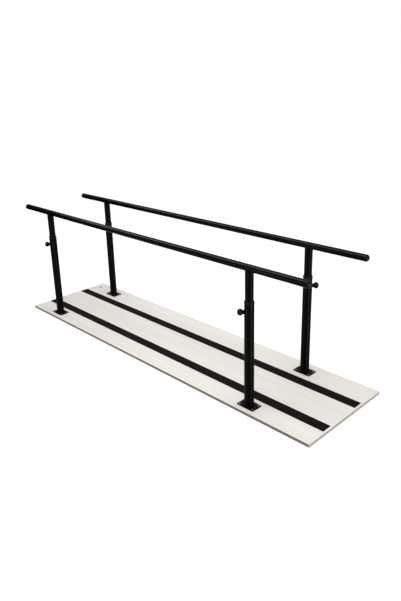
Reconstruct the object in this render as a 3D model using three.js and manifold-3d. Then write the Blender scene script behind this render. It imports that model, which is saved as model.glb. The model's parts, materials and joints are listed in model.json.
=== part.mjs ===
// Walking parallel bars for gait training: a deck, four telescoping posts and two handrails.
// Millimetres, +Z up. The origin is the middle of the deck's underside, on the floor.
// +X runs along the handrails and +Y from the front handrail to the rear one.

import * as THREE from 'three';
import { mergeVertices } from 'three/addons/utils/BufferGeometryUtils.js';
import Module from 'manifold-3d';

const wasm = await Module();
wasm.setup();

// Posts: distances between their axes, and from their axes to the deck's edges
const post_spacing_x = 1960;
const post_spacing_y = 528;
const left_margin = 290;
const right_margin = 450;
const front_margin = 70;
const rear_margin = 102;

// Deck, with a drilled hole near its left rear corner
const deck_thickness = 18;
const deck_corner_radius = 5;
const deck_edge_round = 0.8;
const drill_hole_radius = 10;
const drill_hole_end_inset = 70;
const drill_hole_edge_inset = 80;

// Anti-slip strips, beside the base plates
const strip_width = 70;
const strip_thickness = 1.6;
const front_strip_gap = 33;
const rear_strip_gap = 43;
const strip_end_margin = 12;
const strip_edge_round = 0.5;
const strip_corner_radius = 2;

// Base plates and their countersunk screws, which end inside the deck
const plate_length = 118;
const plate_width = 78;
const plate_thickness = 5;
const plate_corner_radius = 7;
const plate_edge_round = 0.8;
const screw_inset = 12;
const screw_shank_radius = 2.8;
const screw_head_radius = 5.6;
const screw_head_height = 3;
const screw_rim = 0.5;
const screw_point_length = 3;
const screw_cover = 6;
const recess_length = 5.6;
const recess_width = 1.2;
const recess_depth = 1.6;

// Inner uprights, which slide in the outer ones, and the saddles that hold the handrails
const inner_radius = 23.5;
const inner_wall = 2;
const foot_clearance = 10;
const saddle_rise = 14;

// Outer uprights and the guide collars in their mouths
const outer_wall = 2;
const outer_length = 614;
const collar_lip = 1;
const collar_band_height = 8;
const collar_shoulder_height = 6;
const collar_sleeve_wall = 1.3;
const collar_sleeve_length = 36;

// Handrails and their domed end caps
const rail_radius = 20;
const rail_wall = 2;
const left_overhang = 345;
const right_overhang = 380;
const cap_dome_length = 17;
const cap_rim = 3;
const cap_plug_length = 24;

// Height adjustment: this many steps up and as many down, each to its own locking hole
const height_step = 50;
const steps_each_way = 3;
const lowered_gap = 13;

// Locking plungers below the guide collars, turned this far out of the handrail's line
const plunger_angle = Math.PI / 4;
const plunger_travel = 6;
const collar_clearance = 2;
const pin_radius = 4.5;
const pin_chamfer = 1;
const pin_lip = 1.5;
const pin_shoulder_length = 2;
const shank_step = 1.1;
const barrel_wall = 5.7;
const barrel_sink = 1.1;
const barrel_front_wall = 2.5;
const barrel_end_wall = 3;
const barrel_chamfer = 1;
const spring_wire_radius = 0.55;
const spring_turns = 4;
const knob_radius = 19.5;
const knob_back_radius = 15.5;
const knob_back_length = 11;
const knob_dome_length = 16;
const knob_hood_depth = 5.5;
const knob_crown = 10;

// Clearances
const seat_gap = 0.1;
const cut_gap = 0.3;
const slide_gap = 0.4;
const hole_gap = 0.7;
const retract_gap = 2;
const overrun = 5;

// How finely round shapes are cut
const tube_sides = 28;
const knob_sides = 20;
const pin_sides = 12;
const hole_sides = 10;
const screw_sides = 8;
const corner_steps = 3;
const dome_steps = 4;
const knob_steps = 8;
const spring_steps_per_turn = 8;
const spring_wire_sides = 4;

// Sizes and heights that follow
const deck_length = left_margin + post_spacing_x + right_margin;
const deck_width = front_margin + post_spacing_y + rear_margin;
const post_shift_x = (left_margin - right_margin) / 2;
const post_shift_y = (front_margin - rear_margin) / 2;
const deck_top = deck_thickness;
const strip_reach = post_spacing_y / 2 - plate_width / 2 - strip_width / 2;
const plate_base = deck_top + seat_gap;
const plate_top = plate_base + plate_thickness;
const screw_length = plate_top - screw_cover;

const travel = height_step * steps_each_way;
const outer_base = plate_top + seat_gap;
const outer_top = outer_base + outer_length;
const collar_inner_radius = inner_radius + slide_gap;
const collar_sleeve_radius = collar_inner_radius + collar_sleeve_wall;
const outer_inner_radius = collar_sleeve_radius + cut_gap;
const outer_radius = outer_inner_radius + outer_wall;
const collar_seat = outer_top + seat_gap;
const collar_top = collar_seat + collar_band_height + collar_shoulder_height;
const collar_foot = outer_top - collar_sleeve_length;
const rail_height = collar_top + lowered_gap + travel + rail_radius;
const saddle_radius = rail_radius + cut_gap;
const inner_inner_radius = inner_radius - inner_wall;
const inner_top = rail_height - rail_radius + saddle_rise;
const inner_foot = plate_top + foot_clearance + travel;
const rail_length = left_overhang + post_spacing_x + right_overhang;
const rail_shift_x = post_shift_x + (right_overhang - left_overhang) / 2;
const tube_half_length = rail_length / 2 - cap_dome_length - seat_gap;

// Radii of a plunger's pieces, and their places along it, counted from the post's axis
const pin_shoulder_radius = pin_radius + pin_lip;
const shank_radius = pin_radius - shank_step;
const chamber_radius = pin_shoulder_radius + cut_gap;
const barrel_radius = chamber_radius + barrel_wall;
const spring_radius = (shank_radius + chamber_radius) / 2;
const spring_closed_length = 2 * spring_wire_radius * (spring_turns + 1);
const knob_bore_radius = shank_radius + cut_gap;
const knob_hood_radius = barrel_radius + cut_gap;
const knob_back_angle = Math.acos(knob_back_radius / knob_radius);
const knob_back_reach = knob_back_length / Math.sin(knob_back_angle);
const lock_hole_radius = pin_radius + hole_gap;
const plunger_height = collar_foot - collar_clearance - barrel_radius;
const pin_tip = inner_radius + retract_gap - plunger_travel;
const barrel_start = outer_inner_radius - barrel_sink;
const chamber_start = barrel_start + barrel_front_wall;
const shoulder_start = chamber_start + seat_gap;
const shoulder_end = shoulder_start + pin_shoulder_length;
const spring_start = shoulder_end + seat_gap + spring_wire_radius;
const spring_end = spring_start + plunger_travel + spring_closed_length - 2 * spring_wire_radius;
const chamber_end = spring_end + spring_wire_radius + seat_gap;
const barrel_end = chamber_end + barrel_end_wall;
const knob_floor = barrel_end + cut_gap;
const knob_start = knob_floor - knob_hood_depth;
const knob_widest = knob_start + knob_back_length;
const knob_end = knob_widest + knob_dome_length;
const knob_bore_end = knob_end - knob_crown;
const pin_end = knob_bore_end - cut_gap;

const bars = new THREE.Group();

// Finishes
const pale_laminate = { color: 0xe6e0d8, roughness: 0.55, metalness: 0 };
const ribbed_rubber = { color: 0x161616, roughness: 0.85, metalness: 0 };
const black_powder_coat = { color: 0x0e0e0f, roughness: 0.38, metalness: 0.1 };
const black_plastic = { color: 0x101010, roughness: 0.5, metalness: 0 };
const zinc_plate = { color: 0xb9bcc0, roughness: 0.3, metalness: 1 };
const spring_steel = { color: 0x8f9296, roughness: 0.35, metalness: 1 };

function add(name, geometry, finish, x = 0, y = 0, z = 0, turn = 0) {
  const mesh = new THREE.Mesh(geometry, new THREE.MeshStandardMaterial(finish));
  mesh.name = name;
  mesh.position.set(x, y, z);
  mesh.rotation.z = turn;
  bars.add(mesh);
}

// Keeps only the points of a geometry and joins those that coincide.
function welded(geometry) {
  geometry.deleteAttribute('normal');
  geometry.deleteAttribute('uv');
  const joined = mergeVertices(geometry);
  const corners = joined.index.array;
  const kept = [];
  for (let i = 0; i < corners.length; i += 3) {
    const [a, b, c] = [corners[i], corners[i + 1], corners[i + 2]];
    if (a !== b && b !== c && c !== a) kept.push(a, b, c);
  }
  joined.setIndex(kept);
  return joined;
}

function solidOf(geometry) {
  const joined = welded(geometry.clone());
  return new wasm.Manifold(new wasm.Mesh({
    numProp: 3,
    vertProperties: new Float32Array(joined.attributes.position.array),
    triVerts: new Uint32Array(joined.index.array),
  }));
}

function geometryOf(solid) {
  const mesh = solid.getMesh();
  const geometry = new THREE.BufferGeometry();
  geometry.setAttribute('position', new THREE.BufferAttribute(mesh.vertProperties, 3));
  geometry.setIndex(new THREE.BufferAttribute(mesh.triVerts, 1));
  return geometry;
}

// Cuts the tools out of a body.
function cut(body, tools) {
  let solid = solidOf(body);
  for (const tool of tools) solid = solid.subtract(solidOf(tool));
  return geometryOf(solid);
}

// Turns an outline of [radius, height] corners round the Z axis. The outline runs upwards on
// its outer side, and starts and ends on the axis or closes on itself.
function turned(outline, sides) {
  const points = outline.map(([radius, height]) => new THREE.Vector2(radius, height));
  return welded(new THREE.LatheGeometry(points, sides).rotateX(Math.PI / 2));
}

// The same, lying along +X.
function turnedAlongX(outline, sides) {
  return turned(outline, sides).rotateY(Math.PI / 2);
}

function ring(inner, outer, low, high) {
  return [[inner, low], [outer, low], [outer, high], [inner, high], [inner, low]];
}

function rod(radius, low, high) {
  return [[0, low], [radius, low], [radius, high], [0, high]];
}

// A flat board with round corners and softened edges, standing on z = 0.
function board(length, width, thickness, corner, softening) {
  const x = length / 2 - softening;
  const y = width / 2 - softening;
  const r = corner - softening;
  const outline = new THREE.Shape();
  outline.moveTo(x - r, -y);
  outline.absarc(x - r, r - y, r, -Math.PI / 2, 0);
  outline.absarc(x - r, y - r, r, 0, Math.PI / 2);
  outline.absarc(r - x, y - r, r, Math.PI / 2, Math.PI);
  outline.absarc(r - x, r - y, r, Math.PI, 1.5 * Math.PI);
  outline.closePath();
  return new THREE.ExtrudeGeometry(outline, {
    depth: thickness - 2 * softening,
    bevelThickness: softening,
    bevelSize: softening,
    bevelSegments: 1,
    curveSegments: corner_steps,
  }).translate(0, 0, softening);
}

// Outline of a countersunk screw whose head is flush with z = 0, grown by a clearance.
function screwOutline(clearance) {
  const head = screw_head_radius + clearance;
  const shank = screw_shank_radius + clearance;
  const point = screw_point_length - clearance;
  return [
    [0, -screw_length - clearance],
    [shank, point - screw_length],
    [shank, -screw_head_height],
    [head, -screw_rim],
    [head, 0],
    [0, 0],
  ];
}

function screwHoleTool(x, y, z) {
  const outline = screwOutline(cut_gap);
  const rim = outline[outline.length - 2][0];
  outline.splice(outline.length - 2, 2, [rim, overrun], [0, overrun]);
  return turned(outline, screw_sides).translate(x, y, z);
}

const screw_places = [[-1, -1], [1, -1], [1, 1], [-1, 1]].map(([sx, sy]) => [
  sx * (plate_length / 2 - screw_inset),
  sy * (plate_width / 2 - screw_inset),
]);

// The front knobs point towards the left front corner and the rear ones the opposite way,
// because the two handrail frames are alike and one is turned round.
const rows = [
  { name: 'front', y: post_shift_y - post_spacing_y / 2, turn: Math.PI + plunger_angle },
  { name: 'rear', y: post_shift_y + post_spacing_y / 2, turn: plunger_angle },
];
const columns = [
  { name: 'left', x: post_shift_x - post_spacing_x / 2 },
  { name: 'right', x: post_shift_x + post_spacing_x / 2 },
];
const posts = rows.flatMap((row) => columns.map((column) => ({
  name: `${row.name}_${column.name}`,
  x: column.x,
  y: row.y,
  turn: row.turn,
})));

function makeDeck() {
  const tools = posts.flatMap((post) => screw_places.map(([x, y]) =>
    screwHoleTool(post.x + x, post.y + y, plate_top)));
  const drill = turned(rod(drill_hole_radius, -overrun, deck_top + overrun), pin_sides);
  tools.push(drill.translate(
    drill_hole_end_inset - deck_length / 2, deck_width / 2 - drill_hole_edge_inset, 0));
  const panel = board(
    deck_length, deck_width, deck_thickness, deck_corner_radius, deck_edge_round);
  add('deck_panel', cut(panel, tools), pale_laminate);
}

function makeStrips() {
  const length = deck_length - 2 * strip_end_margin;
  const strips = [
    { name: 'front', y: front_strip_gap - strip_reach },
    { name: 'rear', y: strip_reach - rear_strip_gap },
  ];
  for (const { name, y } of strips) {
    const strip = board(
      length, strip_width, strip_thickness, strip_corner_radius, strip_edge_round);
    add(`${name}_anti_slip_strip`, welded(strip), ribbed_rubber,
      0, post_shift_y + y, deck_top + seat_gap);
  }
}

function makeBasePlate(post) {
  const plate = board(
    plate_length, plate_width, plate_thickness, plate_corner_radius, plate_edge_round);
  const tools = screw_places.map(([x, y]) => screwHoleTool(x, y, plate_thickness));
  add(`${post.name}_base_plate`, cut(plate, tools), black_powder_coat,
    post.x, post.y, plate_base);
}

function makeScrews(post) {
  const across = (turn) => new THREE.BoxGeometry(recess_length, recess_width, 2 * recess_depth)
    .rotateZ(turn);
  const cross = solidOf(across(0)).add(solidOf(across(Math.PI / 2)));
  const screw = solidOf(turned(screwOutline(0), screw_sides)).subtract(cross);
  screw_places.forEach(([x, y], i) => {
    add(`${post.name}_screw_${i + 1}`, geometryOf(screw), zinc_plate,
      post.x + x, post.y + y, plate_top);
  });
}

function makeOuterUpright(post) {
  const tube = turned(ring(outer_inner_radius, outer_radius, outer_base, outer_top), tube_sides)
    .translate(0, 0, -plunger_height);
  const mouth = turnedAlongX(
    rod(barrel_radius + cut_gap, outer_inner_radius / 2, outer_radius + overrun), knob_sides);
  add(`${post.name}_outer_upright`, cut(tube, [mouth]), black_powder_coat,
    post.x, post.y, plunger_height, post.turn);
}

function makeGuideCollar(post) {
  const band = outer_radius + collar_lip;
  const shoulder = collar_seat + collar_band_height;
  const mouth = (collar_inner_radius + band) / 2;
  const outline = [
    [collar_inner_radius, collar_foot],
    [collar_sleeve_radius, collar_foot],
    [collar_sleeve_radius, collar_seat],
    [band, collar_seat],
    [band, shoulder],
    [mouth, collar_top],
    [collar_inner_radius, collar_top],
    [collar_inner_radius, collar_foot],
  ];
  add(`${post.name}_guide_collar`, turned(outline, tube_sides), black_plastic,
    post.x, post.y, 0, post.turn);
}

// The tube's top is cut to a saddle for the handrail, and its side has the locking holes.
function makeInnerUpright(post) {
  const tube = turned(ring(inner_inner_radius, inner_radius, inner_foot, inner_top), tube_sides)
    .translate(0, 0, -plunger_height);
  const saddle = turnedAlongX(rod(saddle_radius, -outer_radius, outer_radius), tube_sides)
    .rotateZ(-post.turn)
    .translate(0, 0, rail_height - plunger_height);
  const tools = [saddle];
  for (let step = -steps_each_way; step <= steps_each_way; step += 1) {
    tools.push(turnedAlongX(
      rod(lock_hole_radius, inner_radius / 2, inner_radius + overrun), hole_sides)
      .translate(0, 0, step * height_step));
  }
  add(`${post.name}_inner_upright`, cut(tube, tools), black_powder_coat,
    post.x, post.y, plunger_height, post.turn);
}

function makePlunger(post) {
  const place = [post.x, post.y, plunger_height, post.turn];
  const barrel = [
    [pin_radius + cut_gap, barrel_start],
    [barrel_radius, barrel_start],
    [barrel_radius, barrel_end - barrel_chamfer],
    [barrel_radius - barrel_chamfer, barrel_end],
    [knob_bore_radius, barrel_end],
    [knob_bore_radius, chamber_end],
    [chamber_radius, chamber_end],
    [chamber_radius, chamber_start],
    [pin_radius + cut_gap, chamber_start],
    [pin_radius + cut_gap, barrel_start],
  ];
  add(`${post.name}_plunger_barrel`, turnedAlongX(barrel, knob_sides),
    black_powder_coat, ...place);

  const pin = [
    [0, pin_tip],
    [pin_radius - pin_chamfer, pin_tip],
    [pin_radius, pin_tip + pin_chamfer],
    [pin_radius, shoulder_start],
    [pin_shoulder_radius, shoulder_start],
    [pin_shoulder_radius, shoulder_end],
    [shank_radius, shoulder_end],
    [shank_radius, pin_end],
    [0, pin_end],
  ];
  add(`${post.name}_plunger_pin`, turnedAlongX(pin, pin_sides), zinc_plate, ...place);

  // The back of the ball reaches over the barrel's end.
  const knob = [
    [0, knob_bore_end],
    [knob_bore_radius, knob_bore_end],
    [knob_bore_radius, knob_floor],
    [knob_hood_radius, knob_floor],
    [knob_hood_radius, knob_start],
  ];
  for (let i = 0; i <= knob_steps; i += 1) {
    const a = THREE.MathUtils.lerp(-knob_back_angle, Math.PI / 2, i / knob_steps);
    const reach = a < 0 ? knob_back_reach : knob_dome_length;
    knob.push([knob_radius * Math.cos(a), knob_widest + reach * Math.sin(a)]);
  }
  knob[knob.length - 1][0] = 0;
  add(`${post.name}_plunger_knob`, turnedAlongX(knob, knob_sides), black_plastic, ...place);

  const spring = new THREE.ExtrudeGeometry(wireSection(), {
    extrudePath: new SpringPath(),
    steps: spring_turns * spring_steps_per_turn,
    bevelEnabled: false,
  });
  add(`${post.name}_plunger_spring`, welded(spring), spring_steel, ...place);
}

class SpringPath extends THREE.Curve {
  getPoint(t, target = new THREE.Vector3()) {
    const a = 2 * Math.PI * spring_turns * t;
    return target.set(
      THREE.MathUtils.lerp(spring_start, spring_end, t),
      spring_radius * Math.cos(a),
      spring_radius * Math.sin(a));
  }
}

function wireSection() {
  const section = new THREE.Shape();
  for (let i = 0; i < spring_wire_sides; i += 1) {
    const a = (i / spring_wire_sides) * 2 * Math.PI;
    const [x, y] = [spring_wire_radius * Math.cos(a), spring_wire_radius * Math.sin(a)];
    if (i === 0) section.moveTo(x, y);
    else section.lineTo(x, y);
  }
  section.closePath();
  return section;
}

function makeHandrail(row) {
  const tube = turnedAlongX(
    ring(rail_radius - rail_wall, rail_radius, -tube_half_length, tube_half_length), tube_sides);
  add(`${row.name}_handrail`, tube, black_powder_coat, rail_shift_x, row.y, rail_height);

  const plug = rail_radius - rail_wall - cut_gap;
  const cap = [
    [0, -cap_plug_length],
    [plug, -cap_plug_length],
    [plug, seat_gap],
    [rail_radius, seat_gap],
    [rail_radius, cap_rim],
  ];
  for (let i = 1; i <= dome_steps; i += 1) {
    const a = (i / dome_steps) * Math.PI / 2;
    cap.push([
      rail_radius * Math.cos(a),
      cap_rim + (cap_dome_length - cap_rim) * Math.sin(a),
    ]);
  }
  cap[cap.length - 1][0] = 0;
  const end = tube_half_length;
  add(`${row.name}_left_end_cap`, turnedAlongX(cap, tube_sides), black_plastic,
    rail_shift_x - end, row.y, rail_height, Math.PI);
  add(`${row.name}_right_end_cap`, turnedAlongX(cap, tube_sides), black_plastic,
    rail_shift_x + end, row.y, rail_height);
}

makeDeck();
makeStrips();
for (const post of posts) {
  makeBasePlate(post);
  makeScrews(post);
  makeOuterUpright(post);
  makeGuideCollar(post);
  makeInnerUpright(post);
  makePlunger(post);
}
for (const row of rows) makeHandrail(row);

export default bars;
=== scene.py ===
# %% [markdown]
# # Walking parallel bars for gait training
# Two round handrails stand on telescoping posts that are screwed to a long, pale deck. The
# engineering model of this object already exists: it gives every part its place and tells
# which parts move together. This lesson loads that model and dresses it, part by part, with
# rounder shapes and finer surfaces than an engineering model needs.

import json
import math

import bmesh
import bpy
from mathutils import Matrix, Vector


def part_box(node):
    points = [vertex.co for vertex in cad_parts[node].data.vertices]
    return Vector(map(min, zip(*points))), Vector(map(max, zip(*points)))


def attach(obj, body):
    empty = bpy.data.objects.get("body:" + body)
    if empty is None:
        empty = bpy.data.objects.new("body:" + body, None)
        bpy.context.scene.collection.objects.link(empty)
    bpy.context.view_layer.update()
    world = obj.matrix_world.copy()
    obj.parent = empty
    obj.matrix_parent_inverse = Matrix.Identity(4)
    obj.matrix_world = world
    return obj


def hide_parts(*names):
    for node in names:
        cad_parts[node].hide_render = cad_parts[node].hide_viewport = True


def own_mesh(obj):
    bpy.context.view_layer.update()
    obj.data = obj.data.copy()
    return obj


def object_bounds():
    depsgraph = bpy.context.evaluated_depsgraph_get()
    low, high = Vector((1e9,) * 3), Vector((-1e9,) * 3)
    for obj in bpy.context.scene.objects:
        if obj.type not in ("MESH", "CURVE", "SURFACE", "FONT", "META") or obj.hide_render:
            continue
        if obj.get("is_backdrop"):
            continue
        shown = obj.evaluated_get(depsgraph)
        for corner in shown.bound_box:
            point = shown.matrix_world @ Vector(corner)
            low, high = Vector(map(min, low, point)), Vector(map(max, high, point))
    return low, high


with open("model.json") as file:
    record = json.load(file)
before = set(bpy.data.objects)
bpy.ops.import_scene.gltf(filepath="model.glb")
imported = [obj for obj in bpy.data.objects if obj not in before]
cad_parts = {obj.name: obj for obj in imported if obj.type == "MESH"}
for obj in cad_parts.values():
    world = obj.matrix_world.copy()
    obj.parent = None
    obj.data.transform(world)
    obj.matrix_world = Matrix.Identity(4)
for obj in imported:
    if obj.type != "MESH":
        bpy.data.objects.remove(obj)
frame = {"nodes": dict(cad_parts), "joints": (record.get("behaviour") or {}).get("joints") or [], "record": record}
cad_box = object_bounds()
print("parts in the model:", len(frame["nodes"]))

# %% [markdown]
# Drawings of such objects are in millimetres, and Blender works in metres. The lengths of
# all parts are written in millimetres and multiplied once, when a mesh is made. Anything
# round is given by its radius.

# %% Units and places of the posts
MM = 0.001
ROWS = ("front", "rear")
SIDES = ("left", "right")


def box_mm(part):
    """Lowest and highest corner of a part of the model, in millimetres."""
    low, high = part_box(part)
    return low / MM, high / MM


def middle_mm(part):
    """The x and y of a part's middle, in millimetres."""
    low, high = box_mm(part)
    return (low.x + high.x) / 2, (low.y + high.y) / 2


# Each post has an x, a y, and the direction in which its locking knob is pulled.
pulls = {joint["child"]: Vector(joint["axis"]) for joint in frame["joints"]}
posts = {}
for post in [f"{row}_{side}" for row in ROWS for side in SIDES]:
    x, y = middle_mm(f"{post}_base_plate")
    pull = pulls[f"{post}_plunger"]
    posts[post] = (x, y, math.atan2(pull.y, pull.x))
    print(f"{post}: x {x:.0f}, y {y:.0f}, knob turned {math.degrees(posts[post][2]):.0f} degrees")

# %% [markdown]
# Most parts here were turned on a lathe or drawn as tube, so most are made by spinning an
# outline of radius and height round the Z axis. On a real part no corner is perfectly sharp,
# and a softened corner catches a thin line of light. So a corner may carry a third number,
# how far it is eased, and it is then replaced by a small curve.

# %% Helper: ease the corners of an outline
EASE_STEPS = 3


def eased(outline, closed):
    points = []
    last = len(outline) - 1
    for i, (radius, height, *ease) in enumerate(outline):
        here = Vector((radius, height))
        if not ease or (not closed and i in (0, last)):
            points.append(here)
            continue
        before = Vector(outline[i - 1][:2])
        after = Vector(outline[(i + 1) % (last + 1)][:2])
        start = here + (before - here).normalized() * ease[0]
        end = here + (after - here).normalized() * ease[0]
        for step in range(EASE_STEPS + 1):
            t = step / EASE_STEPS
            points.append(start.lerp(here, t).lerp(here.lerp(end, t), t))
    return points


print("a square corner becomes", len(eased([(0, 0), (1, 0, 0.2), (1, 1)], False)) - 2, "points")

# %% [markdown]
# A mesh is then built from rings of corners that are joined by faces, each ring with the
# next. Spun parts, boards, weld beads and springs all are such stacks of rings, so joining
# them is a helper of its own. Where a ring shrinks to one point its faces become triangles.

# %% Helper: join rings of corners into a mesh
CREASE_ANGLE = math.radians(38)


def join_rings(builder, rings, closed=False, capped=False):
    """Joins neighbouring rings, and the last with the first if closed."""
    followers = rings[1:] + rings[:1] if closed else rings[1:]
    for low, high in zip(rings, followers):
        for i in range(len(low)):
            j = (i + 1) % len(low)
            corners = list(dict.fromkeys((low[i], low[j], high[j], high[i])))
            if len(corners) > 2:
                builder.faces.new(corners)
    if capped:
        builder.faces.new(rings[0])
        builder.faces.new(rings[-1])


def smoothed(mesh):
    """Shades a mesh smooth, while its real edges stay crisp."""
    mesh.shade_smooth()
    mesh.set_sharp_from_angle(angle=CREASE_ANGLE)
    return mesh


def finished_mesh(builder, name):
    bmesh.ops.recalc_face_normals(builder, faces=builder.faces)
    mesh = bpy.data.meshes.new(name)
    builder.to_mesh(mesh)
    builder.free()
    return smoothed(mesh)


print("edges sharper than", round(math.degrees(CREASE_ANGLE)), "degrees stay crisp")

# %% [markdown]
# A Screw modifier could spin an outline too. Here each of its points becomes a ring at once,
# and a point on the axis stays one point, so nothing has to be merged. A length of tube is
# the outline needed most, so it has a helper of its own.

# %% Helper: spin an outline
ON_AXIS = 1e-6
TUBE_WALL = 2
TUBE_SIDES = 96


def angles_round(count):
    return [2 * math.pi * i / count for i in range(count)]


def turned(name, outline, sides, closed=False):
    builder = bmesh.new()
    rings = []
    for radius, height in eased(outline, closed):
        if radius < ON_AXIS:
            rings.append([builder.verts.new((0, 0, height * MM))] * sides)
            continue
        rings.append([
            builder.verts.new((radius * MM * math.cos(a), radius * MM * math.sin(a), height * MM))
            for a in angles_round(sides)
        ])
    join_rings(builder, rings, closed)
    return finished_mesh(builder, name)


def tube(name, radius, low, high, ease=0.4):
    """A length of tube with its cut ends slightly rounded."""
    inner = radius - TUBE_WALL
    corners = ((inner, low), (radius, low), (radius, high), (inner, high))
    return turned(name, [(*corner, ease) for corner in corners], TUBE_SIDES, closed=True)


sample = tube("sample", 10, 0, 50)
print("a sample tube has", len(sample.polygons), "faces")
bpy.data.meshes.remove(sample)

# %% [markdown]
# Holes, saddles and screw recesses are cut with Boolean modifiers. They are applied at once
# and their tools thrown away, so the mesh that remains can be shared by all four posts.

# %% Helper: cut tools out of a mesh
LIE_ALONG_X = Matrix.Rotation(math.pi / 2, 4, "Y")


def shift(x, y, z=0):
    """Moves by so many millimetres."""
    return Matrix.Translation((x * MM, y * MM, z * MM))


def moved(mesh, matrix):
    mesh.transform(matrix)
    return mesh


def new_object(name, data):
    """Puts a mesh, lamp or camera into the scene."""
    made = bpy.data.objects.new(name, data)
    bpy.context.scene.collection.objects.link(made)
    return made


def cut(mesh, tools):
    body, *helpers = [new_object("helper", shape) for shape in (mesh, *tools)]
    for helper in helpers:
        modifier = body.modifiers.new("cut", "BOOLEAN")
        modifier.operation = "DIFFERENCE"
        modifier.solver = "EXACT"
        modifier.object = helper
    bpy.context.view_layer.update()
    evaluated = body.evaluated_get(bpy.context.evaluated_depsgraph_get())
    result = bpy.data.meshes.new_from_object(evaluated)
    result.name = mesh.name
    for helper in (body, *helpers):
        bpy.data.objects.remove(helper)
    for shape in (mesh, *tools):
        bpy.data.meshes.remove(shape)
    return smoothed(result)


drill = turned("drill", [(0, 0), (3, 0), (3, 20), (0, 20)], 16)
sample = cut(tube("sample", 10, 0, 50), [moved(drill, LIE_ALONG_X)])
print("drilled, the sample tube has", len(sample.polygons), "faces")
bpy.data.meshes.remove(sample)

# %% [markdown]
# A weld bead and a coil spring are both a round section that follows a line. This helper
# sweeps such a section along a list of points. Each point brings its own radius, so a weld
# can show the small ripples that each dab of the torch leaves.

# %% Helper: sweep a round section along a line
DAB_POINTS = 6
DAB_SWELL = 0.12


def swept(name, points, outwards, radii, sides, closed):
    builder = bmesh.new()
    count = len(points)
    rings = []
    for i in range(count):
        before = points[i - 1] if closed or i > 0 else points[i]
        after = points[(i + 1) % count] if closed or i < count - 1 else points[i]
        along = (after - before).normalized()
        side = (outwards[i] - along * outwards[i].dot(along)).normalized()
        other = along.cross(side)
        spokes = [side * math.cos(a) + other * math.sin(a) for a in angles_round(sides)]
        rings.append([builder.verts.new((points[i] + spoke * radii[i]) * MM) for spoke in spokes])
    join_rings(builder, rings, closed, capped=not closed)
    return finished_mesh(builder, name)


def weld_bead(name, points, outwards, radius, sides=10):
    """A closed bead, whose radius swells a little with each dab."""
    swell = [1 + DAB_SWELL * math.sin(2 * math.pi * i / DAB_POINTS) for i in range(len(points))]
    return swept(name, points, outwards, [radius * share for share in swell], sides, closed=True)


print("one dab of the torch is", DAB_POINTS, "points long and swells by", DAB_SWELL)

# %% [markdown]
# Each finished piece has to ride on a body of the engineering model, so that a rail which
# slides takes its caps along. Most pieces also stand for one part there, which is then
# hidden, and only the weld beads are extra. One helper does this for every piece, so none
# can be forgotten.

# %% Helper: put a piece in its place
RECORD_BODIES = frame["record"]["behaviour"]["bodies"]
BODY_OF = {part: body for body, parts in RECORD_BODIES.items() for part in parts}
WELD = {"instead_of": False, "slot": "powder_coated_tube"}
shown = []


def put(part, mesh, matrix, finish=None, instead_of=True, body=None, slot=None):
    """Shows a mesh as a part of the model, or as an extra piece of that name on a body."""
    piece = new_object(f"{part}_shape" if instead_of else part, mesh)
    piece.matrix_world = matrix
    if not mesh.materials:
        mesh.materials.append(finish)
    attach(piece, body or BODY_OF[part])
    if instead_of:
        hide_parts(part)
    shown.append(piece.name)
    return piece


def put_at_posts(part, mesh, place_at, finish, **extra):
    """Puts one shared mesh at every post. The function place_at tells where."""
    for post in posts:
        put(f"{post}_{part}", mesh, place_at(post), finish, **extra)


# %% [markdown]
# ## Finishes
# All finishes are built from shader nodes. One helper sets a node's inputs and another adds
# a node and hands back its result, so that it can go straight into the next one.

# %% Helper: shader nodes
WHITE = (1, 1, 1, 1)


def set_inputs(tree, target, inputs):
    """Sets a node's inputs, each to a number, a colour or another node's output."""
    for key, value in inputs.items():
        if isinstance(value, bpy.types.NodeSocket):
            tree.links.new(value, target.inputs[key])
        else:
            target.inputs[key].default_value = value


def node(tree, kind, inputs, output, **settings):
    made = tree.nodes.new(kind)
    for key, value in settings.items():
        setattr(made, key, value)
    set_inputs(tree, made, inputs)
    return made.outputs[output]


def new_finish(name):
    """A new material and its node tree, with one shader in it."""
    finish = bpy.data.materials.new(name)
    finish.use_nodes = True
    return finish, finish.node_tree


def srgb(red, green, blue):
    """A colour as it is read off a screen, 0 to 255, turned into the linear light of a shader."""
    def linear(value):
        value = value / 255
        return value / 12.92 if value <= 0.04045 else ((value + 0.055) / 1.055) ** 2.4
    return linear(red), linear(green), linear(blue), 1.0


print("mid grey 128 is", round(srgb(128, 128, 128)[0], 3), "in linear light")

# %% [markdown]
# The same layers come back in every finish. Noise makes unevenness, stretched noise makes
# grain, and both are measured on the object, so they stay put when it moves. A spread turns
# such a value into gloss, a ramp turns it into colour, and a bump into relief. A finish is
# then a function that lists its layers, and one helper makes a material of it.

# %% Helper: the layers of a finish
def stretched(tree, place, scale):
    return node(tree, "ShaderNodeMapping", {"Vector": place, "Scale": scale}, "Vector")


def noise(tree, place, scale, detail, roughness):
    values = {"Vector": place, "Scale": scale, "Detail": detail, "Roughness": roughness}
    return node(tree, "ShaderNodeTexNoise", values, "Fac")


def spread(tree, value, low, high, start=0.3, end=0.7):
    """Turns the range start to end of a value into the range low to high."""
    values = {"Value": value, "From Min": start, "From Max": end, "To Min": low, "To Max": high}
    return node(tree, "ShaderNodeMapRange", values, "Result")


def ramp(tree, value, *stops):
    """Turns a value into colour. Each stop is a position and its red, green and blue."""
    colour = node(tree, "ShaderNodeValToRGB", {"Fac": value}, "Color")
    elements = colour.node.color_ramp.elements
    elements[0].position, elements[1].position = stops[0][0], stops[-1][0]
    for position, *_ in stops[1:-1]:
        elements.new(position)
    for element, (_, *rgb) in zip(elements, stops):
        element.color = srgb(*rgb)
    return colour


def bump(tree, height, strength, distance, **below):
    values = {"Height": height, "Strength": strength, "Distance": distance, **below}
    return node(tree, "ShaderNodeBump", values, "Normal")


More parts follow.
